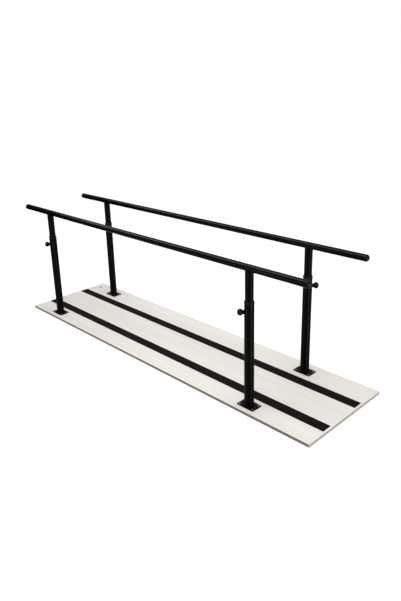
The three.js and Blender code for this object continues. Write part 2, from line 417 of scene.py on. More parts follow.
def make_finish(name, layers, **settings):
    """Builds a material. The function layers tells what goes into its shader."""
    finish, tree = new_finish(name)
    place = node(tree, "ShaderNodeTexCoord", {}, "Object")
    set_inputs(tree, tree.nodes["Principled BSDF"], layers(tree, place, **settings))
    print("made", name, "from", len(tree.nodes), "nodes")
    return finish


print("layers ready: noise, stretched noise, spread, ramp and bump")

# %% [markdown]
# The tubes are powder coated: a plastic powder is baked on to the steel and flows into a
# tough skin. It is nearly black, has a satin gloss, and is never quite flat: shallow waves
# called orange peel break up each reflection, and under them is a finer grain. Two noises in
# one bump chain give both, and a third, very broad one varies the gloss. On the uprights a
# ripple lies across the tube and draws each reflection out into a long thin streak, which
# the second finish adds with Anisotropic.

# %% Finish: black powder coat
def powder_layers(tree, place, smoothest, roughest, ripple=False):
    cloud = noise(tree, place, scale=14, detail=3, roughness=0.55)
    peel = noise(tree, place, scale=260, detail=2, roughness=0.5)
    grain = noise(tree, place, scale=1500, detail=1, roughness=0.5)
    waves = bump(tree, peel, strength=0.1, distance=0.0004)
    layers = {
        "Base Color": ramp(tree, cloud, (0.3, 2, 2, 2), (0.7, 4, 4, 5)),
        "Roughness": spread(tree, cloud, smoothest, roughest),
        "Normal": bump(tree, grain, strength=0.08, distance=0.0001, Normal=waves),
        "Specular IOR Level": 0.033,
    }
    if ripple:
        around = node(tree, "ShaderNodeTangent", {}, "Tangent", direction_type="RADIAL", axis="Z")
        layers.update({"Tangent": around, "Anisotropic": 1.0, "Anisotropic Rotation": 0.25})
    return layers


powder_coat = make_finish("black_powder_coat", powder_layers, smoothest=0.24, roughest=0.30)
post_coat = make_finish(
    "black_powder_coat_posts", powder_layers, smoothest=0.33, roughest=0.39, ripple=True)

# %% [markdown]
# The end caps, guide collars and knobs are moulded plastic. The mould leaves a fine pebbled
# grain, so they look softer and a shade lighter than the tube beside them. Voronoi cells
# give the pebbles, and a noise varies colour and gloss.

# %% Finish: black moulded plastic
def plastic_layers(tree, place):
    cloud = noise(tree, place, scale=90, detail=3, roughness=0.6)
    cells = {"Vector": place, "Scale": 1300, "Randomness": 1.0}
    pebbles = node(tree, "ShaderNodeTexVoronoi", cells, "Distance", feature="SMOOTH_F1")
    return {
        "Base Color": ramp(tree, cloud, (0.25, 8, 8, 9), (0.75, 13, 13, 14)),
        "Roughness": spread(tree, cloud, 0.42, 0.54),
        "Normal": bump(tree, pebbles, strength=0.2, distance=0.0002),
        "Specular IOR Level": 0.06,
    }


plastic = make_finish("black_moulded_plastic", plastic_layers)

# %% [markdown]
# The anti-slip strips are black rubber with a dry, matt skin and a coarse grain. A trace of
# dust lifts the black to a dark grey in places. A fine noise gives the grain and a broader
# one the dust. The ribs themselves are real geometry, made further down.

# %% Finish: anti-slip rubber
def rubber_layers(tree, place):
    grit = noise(tree, place, scale=420, detail=3, roughness=0.65)
    dust = noise(tree, place, scale=110, detail=3, roughness=0.6)
    return {
        "Base Color": ramp(tree, dust, (0.42, 2, 2, 2), (0.64, 29, 29, 28)),
        "Roughness": spread(tree, grit, 0.72, 0.9),
        "Normal": bump(tree, grit, strength=0.5, distance=0.0006),
        "Specular IOR Level": 0.035,
    }


rubber = make_finish("anti_slip_rubber", rubber_layers)

# %% [markdown]
# The deck is a board faced with a pale, warm white laminate, whose faint wood print runs
# lengthwise. Stretching a noise along X makes such streaks, and the ramp between two close
# colours keeps them faint. The matt face has a slight texture for the shoes to grip.

# %% Finish: pale laminate
def laminate_layers(tree, place):
    streaks = noise(tree, stretched(tree, place, (0.9, 38, 38)), 1.0, detail=5, roughness=0.62)
    patches = noise(tree, place, scale=2.2, detail=2, roughness=0.5)
    pores = noise(tree, place, scale=700, detail=2, roughness=0.5)
    both = node(tree, "ShaderNodeMix", {"Factor": 0.3, "A": streaks, "B": patches}, "Result")
    return {
        "Base Color": ramp(tree, both, (0.33, 227, 221, 212), (0.67, 239, 235, 229)),
        "Roughness": spread(tree, streaks, 0.5, 0.62),
        "Normal": bump(tree, pores, strength=0.12, distance=0.0002),
        "Specular IOR Level": 0.35,
    }


laminate = make_finish("pale_laminate", laminate_layers)

# %% [markdown]
# The long edges are bare and show the layers of the pressed board as bands: a dark olive one
# at the top, a lighter line in the middle and a brown one below. The short ends are closed
# with a glued strip of the laminate, a little greyer than the face, with a thin glue line at
# its top. On both, the height of a point picks its band from a ramp, and stretched noise
# adds fibres.

# %% Finishes: layered edge and end edging
DECK_LOW, DECK_HIGH = box_mm("deck_panel")
DECK_THICKNESS = DECK_HIGH.z - DECK_LOW.z


def edge_layers(tree, place, stretch, bands, shades, relief, roughness, specular, wobble=0.0):
    """Bands over the edge's height, whose borders wobble by so many metres."""
    level = node(tree, "ShaderNodeSeparateXYZ", {"Vector": place}, "Z")
    fibres = noise(tree, stretched(tree, place, stretch), 1.0, detail=4, roughness=0.6)
    if wobble:
        shaken = {0: level, 1: spread(tree, fibres, -wobble, wobble, 0, 1)}
        level = node(tree, "ShaderNodeMath", shaken, "Value", operation="ADD")
    share = spread(tree, level, 0, 1, 0, DECK_THICKNESS * MM)
    mottled = {0: ramp(tree, share, *bands), 1: spread(tree, fibres, *shades)}
    return {
        "Base Color": node(tree, "ShaderNodeVectorMath", mottled, "Vector", operation="MULTIPLY"),
        "Roughness": roughness,
        "Normal": bump(tree, fibres, *relief),
        "Specular IOR Level": specular,
    }


LAYERS = (
    (0.0, 112, 96, 82), (0.30, 120, 104, 88), (0.38, 178, 170, 150), (0.52, 182, 174, 155),
    (0.60, 98, 92, 74), (0.93, 88, 83, 67), (1.0, 200, 194, 182),
)
EDGING = (0.0, 186, 180, 174), (0.9, 214, 209, 203), (0.94, 176, 168, 158)
layered_edge = make_finish(
    "layered_board_edge", edge_layers, stretch=(12, 300, 900), bands=LAYERS, wobble=0.0012,
    shades=(0.82, 1.1), relief=(0.35, 0.0006), roughness=0.78, specular=0.3)
end_edging = make_finish(
    "end_edging", edge_layers, stretch=(60, 3, 120), bands=EDGING,
    shades=(0.93, 1.04), relief=(0.15, 0.0003), roughness=0.6, specular=0.35)

# %% [markdown]
# Screws and locking pins are zinc plated, and the springs are bare drawn wire. On both, fine
# scratches run round the part, because it turned while it was made. A noise squeezed along
# the part's own Z axis gives such rings, and the same layers make both finishes.

# %% Finish: bright metals
def metal_layers(tree, place, dull, bright, glossiest, dullest):
    brushed = noise(tree, stretched(tree, place, (80, 80, 2600)), 1.0, detail=3, roughness=0.6)
    stains = noise(tree, place, scale=240, detail=2, roughness=0.5)
    return {
        "Base Color": ramp(tree, stains, (0.3, *dull), (0.65, *bright)),
        "Roughness": spread(tree, brushed, glossiest, dullest),
        "Normal": bump(tree, brushed, strength=0.12, distance=0.0001),
        "Metallic": 1.0,
    }


zinc = make_finish("zinc_plate", metal_layers, dull=(116, 118, 120), bright=(148, 150, 152),
                   glossiest=0.28, dullest=0.42)
wire = make_finish("spring_wire", metal_layers, dull=(150, 151, 153), bright=(190, 191, 193),
                   glossiest=0.27, dullest=0.41)

# %% [markdown]
# ## The deck
# The deck is one flat board with lightly rounded corners and softened edges. A bevel on a
# cube would treat corners and edges alike. Stacking a few copies of the outline, each a
# little smaller near the faces, rounds them separately. The same helper makes the steel base
# plates.

# %% Helper: a board with round corners
CORNER_STEPS = 8
SOFTENING_STEPS = 3


def board_outline(length, width, corner):
    """Points round a rectangle with round corners, about the origin."""
    points = []
    for sx, sy, start in ((1, -1, -90), (1, 1, 0), (-1, 1, 90), (-1, -1, 180)):
        x, y = sx * (length / 2 - corner), sy * (width / 2 - corner)
        for step in range(CORNER_STEPS + 1):
            angle = math.radians(start + 90 * step / CORNER_STEPS)
            points.append((x + corner * math.cos(angle), y + corner * math.sin(angle)))
    return points


def board(name, low, high, corner, softening):
    size = high - low
    levels = []
    for step in range(SOFTENING_STEPS + 1):
        angle = math.radians(90 * step / SOFTENING_STEPS)
        inset = softening * (1 - math.sin(angle))
        levels.append((inset, low.z + softening * (1 - math.cos(angle))))
    levels += [(inset, high.z + low.z - height) for inset, height in reversed(levels)]
    builder = bmesh.new()
    rings = []
    for inset, height in levels:
        outline = board_outline(size.x - 2 * inset, size.y - 2 * inset, corner - inset)
        rings.append([builder.verts.new((x * MM, y * MM, height * MM)) for x, y in outline])
    join_rings(builder, rings, capped=True)
    return finished_mesh(builder, name)


print("a board's outline has", len(board_outline(100, 50, 5)), "points")

# %% [markdown]
# Near its left rear corner the deck has one plain drilled hole, whose wall shows the bare
# board, like the long edges. After the drill has gone through, every face of the mesh gets
# the finish that its direction calls for.

# %% The deck panel
DECK_CORNER = 5
DECK_SOFTENING = 0.8
HOLE_X, HOLE_Y, HOLE_RADIUS, HOLE_EASE = -1280, 270, 10, 0.5
OVERSHOOT = 5
FACING = 0.6

deck_size = DECK_HIGH - DECK_LOW


def deck_finish(face):
    """0, 1 or 2 for a face that shows laminate, the bare board or the end's edging."""
    near_end = abs(abs(face.center.x / MM) - deck_size.x / 2) < DECK_CORNER
    if abs(face.normal.z) > FACING:
        return 0
    return 2 if near_end and abs(face.normal.x) > FACING else 1


drill = turned("drill", [
    (0, -OVERSHOOT), (HOLE_RADIUS, -OVERSHOOT), (HOLE_RADIUS, DECK_HIGH.z - HOLE_EASE),
    (HOLE_RADIUS + HOLE_EASE, DECK_HIGH.z), (HOLE_RADIUS + HOLE_EASE, DECK_HIGH.z + OVERSHOOT),
    (0, DECK_HIGH.z + OVERSHOOT),
], sides=48)
deck_mesh = board("deck", DECK_LOW, DECK_HIGH, DECK_CORNER, DECK_SOFTENING)
deck_mesh = cut(deck_mesh, [moved(drill, shift(HOLE_X, HOLE_Y))])
for finish in (laminate, layered_edge, end_edging):
    deck_mesh.materials.append(finish)
for face in deck_mesh.polygons:
    face.material_index = deck_finish(face)
put("deck_panel", deck_mesh, Matrix.Identity(4))
print("deck", [round(size) for size in deck_size], "mm,", len(deck_mesh.polygons), "faces")

# %% [markdown]
# ## The anti-slip strips
# Two black rubber strips run along the deck, beside the base plates. Their top is moulded
# into fine ribs across the walking direction, with a plain thin border. A bump would only
# fake the ribs, so the strip is a grid whose rows follow a rib's outline: up, across, down,
# and along the groove to the next one.

# %% Helper: the outline of the ribs
RIB_PITCH = 12
RIB_TOP = 7.4
RIB_SLOPE = 0.9
STRIP_BASE = 0.8
STRIP_BORDER = 2.5
STRIP_RIM = 0.5
STRIP_RIM_DROP = 0.3


def strip_columns(start, end):
    """Places along the strip, with how far each rises from the groove to the rib's top."""
    count = int((end - start - 2 * STRIP_BORDER) // RIB_PITCH)
    first = (start + end - count * RIB_PITCH + (RIB_PITCH - RIB_TOP)) / 2
    columns = [(start, 0), (start + STRIP_RIM, 0)]
    for i in range(count):
        x = first + i * RIB_PITCH
        columns += [(x, 0), (x + RIB_SLOPE, 1), (x + RIB_TOP - RIB_SLOPE, 1), (x + RIB_TOP, 0)]
    return columns + [(end - STRIP_RIM, 0), (end, 0)]


def strip_rows(start, end):
    """Places across the strip: its rim, its border and the end of the ribs, on both sides."""
    border = start + STRIP_BORDER
    rows = [(start, 0), (start + STRIP_RIM, 0), (border, 0), (border + RIB_SLOPE, 1)]
    return rows + [(start + end - y, rise) for y, rise in reversed(rows)]


print("a strip of 100 mm has", len(strip_columns(0, 100)), "columns")

# %% [markdown]
# Where columns and rows meet, the grid has its corners, and a skirt round it goes down to
# the deck. An array of single ribs would leave a seam at each one.

# %% Ribbed strips
def ribbed_strip(name, low, high):
    columns, rows = strip_columns(low.x, high.x), strip_rows(low.y, high.y)
    rib_height = high.z - low.z - STRIP_BASE
    builder = bmesh.new()
    grid = []
    for i, (x, along) in enumerate(columns):
        line = []
        for j, (y, across) in enumerate(rows):
            on_rim = i in (0, len(columns) - 1) or j in (0, len(rows) - 1)
            base = STRIP_BASE - STRIP_RIM_DROP if on_rim else STRIP_BASE
            height = low.z + base + along * across * rib_height
            line.append(builder.verts.new((x * MM, y * MM, height * MM)))
        grid.append(line)
    for near, far in zip(grid, grid[1:]):
        for j in range(len(rows) - 1):
            builder.faces.new((near[j], far[j], far[j + 1], near[j + 1]))
    rim = [line[0] for line in grid] + grid[-1][1:]
    rim += [line[-1] for line in reversed(grid[:-1])] + grid[0][-2:0:-1]
    foot = [builder.verts.new((corner.co.x, corner.co.y, low.z * MM)) for corner in rim]
    join_rings(builder, [foot, rim])
    builder.faces.new(foot[::-1])
    return finished_mesh(builder, name)


for row in ROWS:
    low, high = box_mm(f"{row}_anti_slip_strip")
    strip = ribbed_strip("strip", low, high)
    put(f"{row}_anti_slip_strip", strip, Matrix.Identity(4), rubber)
    print(f"{row} strip {high.x - low.x:.0f} mm long, {len(strip.polygons)} faces")

# %% [markdown]
# ## The feet of the posts
# Each post stands on a steel plate that is laser cut and held by four countersunk screws.
# The countersinks are cut with the screw's own outline, a hair wider, so that the heads lie
# flush and show a thin dark ring of shadow round them.

# %% Base plates
PLATE_CORNER = 7
PLATE_SOFTENING = 0.8
SCREW_HEAD = 5.6
SCREW_SHANK = 2.8
SCREW_HEAD_HEIGHT = 3
SCREW_RIM = 0.5
CUT_GAP = 0.3

plate_low, plate_high = box_mm("front_left_base_plate")
screw_places = []
for number in range(1, 5):
    x, y = middle_mm(f"front_left_screw_{number}")
    screw_places.append((x - posts["front_left"][0], y - posts["front_left"][1]))
print("screws round the post:", [(round(x), round(y)) for x, y in screw_places])


def upright_on(post):
    """Moves from the Z axis to a post, without a turn."""
    return shift(*posts[post][:2])


plate = board("base_plate", plate_low, plate_high, PLATE_CORNER, PLATE_SOFTENING)
head, shank, top = SCREW_HEAD + CUT_GAP, SCREW_SHANK + CUT_GAP, plate_high.z
countersink = [
    (0, plate_low.z - OVERSHOOT), (shank, plate_low.z - OVERSHOOT),
    (shank, top - SCREW_HEAD_HEIGHT), (head, top - SCREW_RIM), (head, top + OVERSHOOT),
    (0, top + OVERSHOOT),
]
drills = [moved(turned("drill", countersink, sides=32), shift(x, y)) for x, y in screw_places]
put_at_posts("base_plate", cut(plate, drills), upright_on, powder_coat)
print("plate", [round(size, 1) for size in plate_high - plate_low], "mm")

# %% [markdown]
# The screws are turned like everything round, and then a cross is cut into the head. The
# driver's wings taper, so the tool is a pair of crossed wedges, of the size of a number 2
# cross recess. Each screw is stopped by its own thread, so the heads are turned differently.

# %% Screws
RECESS_LENGTH = 5.6
RECESS_WIDTH = 1.2
RECESS_DEPTH = 1.6
SCREW_TIP = 0.4
SCREW_POINT = 3
TURN_BY_SCREW = 37
TURN_BY_POST = 61

screw_low, screw_high = box_mm("front_left_screw_1")
screw_length = screw_high.z - screw_low.z


def wedge(turn):
    """One wing of the cross recess, tapering downwards, and straight above the head."""
    builder = bmesh.new()
    top, tip = (RECESS_LENGTH / 2, RECESS_WIDTH / 2), (RECESS_LENGTH / 4, RECESS_WIDTH / 3)
    rings = []
    for (x, y), z in ((tip, -RECESS_DEPTH), (top, 0), (top, 1)):
        corners = ((-x, -y), (x, -y), (x, y), (-x, y))
        rings.append([builder.verts.new((a * MM, b * MM, z * MM)) for a, b in corners])
    join_rings(builder, rings, capped=True)
    return moved(finished_mesh(builder, "wing"), Matrix.Rotation(turn, 4, "Z"))


screw = turned("screw", [
    (0, -screw_length), (SCREW_TIP, -screw_length, 0.2),
    (SCREW_SHANK, SCREW_POINT - screw_length, 0.5), (SCREW_SHANK, -SCREW_HEAD_HEIGHT, 0.3),
    (SCREW_HEAD, -SCREW_RIM, 0.2), (SCREW_HEAD, 0, 0.35), (0, 0),
], sides=40)
screw = cut(screw, [wedge(0), wedge(math.pi / 2)])
for i, (post, (x, y, _)) in enumerate(posts.items()):
    for number, (dx, dy) in enumerate(screw_places, start=1):
        spin = math.radians(TURN_BY_SCREW * number + TURN_BY_POST * i)
        place = shift(x + dx, y + dy, screw_high.z) @ Matrix.Rotation(spin, 4, "Z")
        put(f"{post}_screw_{number}", screw, place, zinc)
print("screws are", round(screw_length, 1), "mm long")

# %% [markdown]
# ## The outer uprights
# An outer upright is a steel tube, welded to its plate. Just below its mouth a round hole
# lets the locking plunger through. The tube is made standing in its place and is then turned
# so that the hole looks the way the knob is pulled.

# %% Outer uprights
OUTER_RADIUS = 27.5
BARREL_RADIUS = 12
DRILL_START, DRILL_END = 12, 40

outer_low, outer_high = box_mm("front_left_outer_upright")
barrel_low, barrel_high = box_mm("front_left_plunger_barrel")
PLUNGER_HEIGHT = (barrel_low.z + barrel_high.z) / 2
print("plungers sit", round(PLUNGER_HEIGHT, 1), "mm above the floor")


def sideways_drill(radius, height, sides, start=DRILL_START):
    """A drill along X at a height. It starts inside the tube and spares its far wall."""
    outline = [(0, start), (radius, start), (radius, DRILL_END), (0, DRILL_END)]
    return moved(turned("drill", outline, sides), shift(0, 0, height) @ LIE_ALONG_X)


def on_post(post):
    """Moves from the Z axis to a post, turned so that +X is the way its knob is pulled."""
    return upright_on(post) @ Matrix.Rotation(posts[post][2], 4, "Z")


outer = tube("outer_upright", OUTER_RADIUS, outer_low.z, outer_high.z)
outer = cut(outer, [sideways_drill(BARREL_RADIUS + CUT_GAP, PLUNGER_HEIGHT, sides=48)])
put_at_posts("outer_upright", outer, on_post, post_coat)
print("outer uprights are", round(outer_high.z - outer_low.z), "mm long")

# %% [markdown]
# The fillet weld at the foot runs once round the tube, and each dab of the torch left a
# small ripple, which a plain ring would not show. The bead is swept round the tube, and its
# middle lies a little out of the corner between tube and plate.

# %% Weld beads at the feet
FOOT_BEAD = 2.0
FOOT_BEAD_POINTS = 288
FOOT_BEAD_OUT = 0.35 * FOOT_BEAD


def ring_points(radius, count):
    """Points round the Z axis at height 0, and the outward direction at each."""
    directions = [Vector((math.cos(a), math.sin(a), 0)) for a in angles_round(count)]
    return [direction * radius for direction in directions], directions


points, outwards = ring_points(OUTER_RADIUS + FOOT_BEAD_OUT, FOOT_BEAD_POINTS)
foot_weld = weld_bead("foot_weld", points, outwards, FOOT_BEAD, sides=12)
lift = shift(0, 0, outer_low.z + FOOT_BEAD_OUT)
put_at_posts("foot_weld", foot_weld, lambda post: lift @ on_post(post), powder_coat,
             body="base", **WELD)
print("each foot weld is", round(2 * math.pi * OUTER_RADIUS), "mm round")

# %% [markdown]
# ## Guide collars
# A plastic collar closes the mouth of each outer upright. Its thin sleeve reaches down
# between the two tubes and keeps them from rattling, and only its band and sloping shoulder
# show. The outline goes up the sleeve's outside, over the band and the shoulder to the bore.

# %% Guide collars
COLLAR_BORE = 23.9
COLLAR_SLEEVE = 25.2
COLLAR_BAND = 28.5
COLLAR_BAND_HEIGHT = 8
COLLAR_GAP = 0.1

collar_low, collar_high = box_mm("front_left_guide_collar")
seat = outer_high.z + COLLAR_GAP
collar = turned("guide_collar", [
    (COLLAR_BORE, collar_low.z, 0.3), (COLLAR_SLEEVE, collar_low.z, 0.3), (COLLAR_SLEEVE, seat),
    (COLLAR_BAND, seat, 0.6), (COLLAR_BAND, seat + COLLAR_BAND_HEIGHT, 1.6),
    ((COLLAR_BORE + COLLAR_BAND) / 2, collar_high.z, 0.9), (COLLAR_BORE, collar_high.z, 0.6),
], TUBE_SIDES, closed=True)
put_at_posts("guide_collar", collar, on_post, plastic)
print("collars stand", round(collar_high.z - outer_high.z, 1), "mm above the outer tube")

# %% [markdown]
# ## The inner uprights
# An inner upright is a thinner tube that slides in the outer one. A row of locking holes runs
# down the side that faces the knob, 50 mm apart, and the top is cut to a saddle in which the
# handrail lies. The saddle is a cylinder along the handrail, so it has to be turned back by
# the post's own turn before it cuts.

# %% Inner uprights
INNER_RADIUS = 23.5
RAIL_RADIUS = 20
LOCK_HOLE_RADIUS = 5.2
HEIGHT_STEP = 50
STEPS_EACH_WAY = 3

inner_low, inner_high = box_mm("front_left_inner_upright")
rail_low, rail_high = box_mm("front_handrail")
RAIL_HEIGHT = rail_high.z - RAIL_RADIUS
print("the handrail's axis is", round(RAIL_HEIGHT, 1), "mm high")

inner = tube("inner_upright", INNER_RADIUS, inner_low.z, inner_high.z)
tools = [sideways_drill(RAIL_RADIUS + CUT_GAP, RAIL_HEIGHT, TUBE_SIDES, -DRILL_END)]
moved(tools[0], Matrix.Rotation(-posts["rear_left"][2], 4, "Z"))
for step in range(-STEPS_EACH_WAY, STEPS_EACH_WAY + 1):
    height = PLUNGER_HEIGHT + step * HEIGHT_STEP
    tools.append(sideways_drill(LOCK_HOLE_RADIUS, height, sides=40))
put_at_posts("inner_upright", cut(inner, tools), on_post, post_coat)
print("inner uprights are", round(inner_high.z - inner_low.z), "mm long")

# %% [markdown]
# The handrail is welded into its saddle. The joint is where two cylinders meet, so its height
# at each point round the post follows from Pythagoras, and beside the rail it runs along the
# flat top of the tube. The bead is made once and stands at all four posts.

# %% Weld beads at the handrails
SADDLE_BEAD = 1.6
SADDLE_BEAD_POINTS = 240
SADDLE_BEAD_IN = 0.3
BESIDE_RAIL = 1

points, outwards = ring_points(INNER_RADIUS - SADDLE_BEAD_IN, SADDLE_BEAD_POINTS)
for point in points:
    reach = RAIL_RADIUS**2 - point.y**2
    point.z = RAIL_HEIGHT - math.sqrt(reach) if reach > 0 else inner_high.z
    if point.z >= inner_high.z:
        point.z = inner_high.z
        point.y *= min(1.0, (RAIL_RADIUS + BESIDE_RAIL) / abs(point.y))
saddle_weld = weld_bead("saddle_weld", points, outwards, SADDLE_BEAD)
for post in posts:
    rail = post.split("_")[0] + "_rail"
    put(f"{post}_saddle_weld", saddle_weld, upright_on(post), powder_coat, body=rail, **WELD)
heights = [point.z for point in points]
print("saddle welds reach from", round(min(heights), 1), "to", round(max(heights), 1), "mm")

# %% [markdown]
# ## The handrails
# Each handrail is one straight tube, 40 mm thick, which a weak hand can close round. It is
# spun upright and laid down along X. Its own Z axis still runs along the tube, which keeps
# the finish the same on every tube.

# %% Handrails
def along_rail(row, x):
    """Moves from the Z axis to a handrail's axis, starting at x, with +Z towards +X."""
    return shift(x, middle_mm(f"{row}_handrail")[1], RAIL_HEIGHT) @ LIE_ALONG_X


rail_half = (rail_high.x - rail_low.x) / 2
rail_middle = (rail_high.x + rail_low.x) / 2
rail = tube("handrail", RAIL_RADIUS, -rail_half, rail_half, ease=0.3)
for row in ROWS:
    put(f"{row}_handrail", rail, along_rail(row, rail_middle), powder_coat)
print("handrails are", round(2 * rail_half), "mm long without their caps")

# %% [markdown]
# A plastic cap closes each end so that no cut edge can hurt a hand. Its plug sits in the
# tube, a narrow rim covers the tube's end, and a shallow groove parts the rim from the dome.
# The dome is an ellipse: points at equal angles round it lie closest where it curves most.

# %% End caps
CAP_PLUG = 17.7
CAP_GAP = 0.1
CAP_RIM = 3
GROOVE_DEPTH = 0.35
GROOVE_HALF = 0.2
DOME_INSET = 0.1
DOME_START = 3.5
DOME_STEPS = 18

cap_low, cap_high = box_mm("front_right_end_cap")
cap_plug_start = cap_low.x - rail_high.x
cap_end = cap_high.x - rail_high.x


def dome(radius, start, end):
    """A quarter of an ellipse from the rim to the middle of the end."""
    turns = [math.pi / 2 * i / DOME_STEPS for i in range(DOME_STEPS)]
    ellipse = [(radius * math.cos(a), start + (end - start) * math.sin(a)) for a in turns]
    return ellipse + [(0, end)]


cap = turned("end_cap", [
    (0, cap_plug_start), (CAP_PLUG, cap_plug_start, 0.6), (CAP_PLUG, CAP_GAP),
    (RAIL_RADIUS, CAP_GAP, 0.3), (RAIL_RADIUS, CAP_RIM - 2 * GROOVE_HALF, 0.2),
    (RAIL_RADIUS - GROOVE_DEPTH, CAP_RIM - GROOVE_HALF, 0.1),
    (RAIL_RADIUS - GROOVE_DEPTH, CAP_RIM + GROOVE_HALF, 0.1),
    *dome(RAIL_RADIUS - DOME_INSET, DOME_START, cap_end),
], TUBE_SIDES)
face_left = Matrix.Rotation(math.pi, 4, "X")
for row in ROWS:
    put(f"{row}_right_end_cap", cap, along_rail(row, rail_high.x), plastic)
    put(f"{row}_left_end_cap", cap, along_rail(row, rail_low.x) @ face_left, plastic)
print("caps are", round(cap_end, 1), "mm long outside the tube")

# %% [markdown]
# ## The locking plungers
# A plunger holds the height: a spring pushes its pin through the outer tube into a hole of
# the inner one, and a pull on the knob draws it back. Its parts are all turned, on one axis
# that lies across the post. Their places along it are counted from the post's own axis. The
# barrel comes first: a bush with a chamber for the spring and a small bore at either end.

# %% Plunger barrels
BARREL_START = 24.4
BARREL_END = 43.7
BARREL_CHAMFER = 1
CHAMBER_RADIUS = 6.3
CHAMBER_START = 26.9
CHAMBER_END = 40.7
PIN_RADIUS = 4.5
SHANK_RADIUS = 3.4
TURNED_SIDES = 64
PIN_BORE = PIN_RADIUS + CUT_GAP
SHANK_BORE = SHANK_RADIUS + CUT_GAP


def across_post(post):
    """Moves from the Z axis to a plunger's axis, with +Z pointing out towards its knob."""
    return on_post(post) @ shift(0, 0, PLUNGER_HEIGHT) @ LIE_ALONG_X


barrel = turned("plunger_barrel", [
    (PIN_BORE, BARREL_START), (BARREL_RADIUS, BARREL_START, 0.3),
    (BARREL_RADIUS, BARREL_END - BARREL_CHAMFER, 0.3),
    (BARREL_RADIUS - BARREL_CHAMFER, BARREL_END, 0.3), (SHANK_BORE, BARREL_END, 0.3),
    (SHANK_BORE, CHAMBER_END), (CHAMBER_RADIUS, CHAMBER_END), (CHAMBER_RADIUS, CHAMBER_START),
    (PIN_BORE, CHAMBER_START),
], TURNED_SIDES, closed=True)
put_at_posts("plunger_barrel", barrel, across_post, powder_coat)
print("barrels stand", round(BARREL_END - OUTER_RADIUS, 1), "mm out of the outer tube")

# %% [markdown]
# A small bead welds the barrel to the tube. It runs round the barrel and follows the tube's
# face, which curves away from the knob: Pythagoras gives its distance from the post's axis.

# %% Weld beads at the barrels
BARREL_BEAD = 1.3
BARREL_BEAD_POINTS = 96
OFF_TUBE, OFF_BARREL = 0.2 * BARREL_BEAD, 0.4 * BARREL_BEAD

tube_face = OUTER_RADIUS + OFF_TUBE
points, outwards = ring_points(BARREL_RADIUS + OFF_BARREL, BARREL_BEAD_POINTS)
for point in points:
    point.z = math.sqrt(tube_face**2 - point.y**2)
barrel_weld = weld_bead("barrel_weld", points, outwards, BARREL_BEAD)
put_at_posts("barrel_weld", barrel_weld, across_post, powder_coat, body="base", **WELD)
depths = [point.z for point in points]
print("barrel welds lie", round(min(depths), 1), "to", round(max(depths), 1), "mm from the axis")

# %% [markdown]
# The pin is a stepped bar: a thick nose that enters the locking hole, a shoulder on which
# the spring presses, and a thinner shank that runs out of the barrel into the knob. One
# outline spins all three, as a lathe would.

# %% Locking pins
PIN_TIP = 19.5
PIN_CHAMFER = 1
PIN_SHOULDER = PIN_RADIUS + 1.5
SHOULDER_START = 27
SHOULDER_END = 29
PIN_END = 55.2

pin = turned("plunger_pin", [
    (0, PIN_TIP), (PIN_RADIUS - PIN_CHAMFER, PIN_TIP, 0.4),
    (PIN_RADIUS, PIN_TIP + PIN_CHAMFER, 0.4), (PIN_RADIUS, SHOULDER_START),
    (PIN_SHOULDER, SHOULDER_START, 0.25), (PIN_SHOULDER, SHOULDER_END, 0.25),
    (SHANK_RADIUS, SHOULDER_END), (SHANK_RADIUS, PIN_END, 0.5), (0, PIN_END),
], TURNED_SIDES)
put_at_posts("plunger_pin", pin, across_post, zinc)
print("pins reach", round(INNER_RADIUS - PIN_TIP, 1), "mm into the inner tube")

# %% [markdown]
# The spring is wound from hard wire round the pin's shank. Its line is a helix, and the two
# end coils are wound nearly flat so that the spring stands square against its seats. When
# the knob is pulled, the pin's shoulder presses the spring together. Each spring gets a mesh
# of its own, and the point where it rests on the barrel is found, but the mesh is not squashed.

# %% Springs
SPRING_START = 29.65
SPRING_END = 40.05
SPRING_RADIUS = 4.85
SPRING_WIRE = 0.55
SPRING_TURNS = 4
FLAT_TURNS = 0.75
POINTS_PER_TURN = 32

points, outwards = [], []
for i in range(SPRING_TURNS * POINTS_PER_TURN + 1):
    turns = i / POINTS_PER_TURN
    angle = 2 * math.pi * turns
    share = min(max((turns - FLAT_TURNS) / (SPRING_TURNS - 2 * FLAT_TURNS), 0), 1)
    flat_part = min(turns, FLAT_TURNS) + max(turns - SPRING_TURNS + FLAT_TURNS, 0)
    flat = 2 * SPRING_WIRE * flat_part / (2 * FLAT_TURNS)
    height = SPRING_START + flat + share * (SPRING_END - SPRING_START - 2 * SPRING_WIRE)
    outward = Vector((math.cos(angle), math.sin(angle), 0))
    points.append(outward * SPRING_RADIUS + Vector((0, 0, height)))
    outwards.append(outward)
radii = [SPRING_WIRE] * len(points)
shared_spring = swept("plunger_spring", points, outwards, radii, 10, closed=False)
for post in posts:
    place = across_post(post)
    spring = put(f"{post}_plunger_spring", shared_spring, place, wire)
    seat = place @ Vector((0, 0, (SPRING_END + SPRING_WIRE) * MM))
    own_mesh(spring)

# %% [markdown]
# The knob is a plastic ball, a little flattened, that two fingers can pinch. Its back is
# hollowed so that it reaches over the barrel's end and keeps dirt out. The outline runs down
# the bore, out and over the hollow's edge, and round the ball to the middle of its face.

# %% Knobs
KNOB_FLOOR = 44
KNOB_START = 38.5
KNOB_WIDEST = 49.5
KNOB_END = 65.5
KNOB_BORE_END = 55.5
KNOB_RADIUS = 19.5
KNOB_BACK_RADIUS = 15.5
HOOD_RADIUS = 12.3
BALL_STEPS = 9


def ball_back():
    """The ball's rear, from the edge of its flat back to where it is widest."""
    angle = math.acos(KNOB_BACK_RADIUS / KNOB_RADIUS)
    reach = (KNOB_WIDEST - KNOB_START) / math.sin(angle)
    turns = [angle * (i / BALL_STEPS - 1) for i in range(1, BALL_STEPS)]
    return [(KNOB_RADIUS * math.cos(a), KNOB_WIDEST + reach * math.sin(a)) for a in turns]


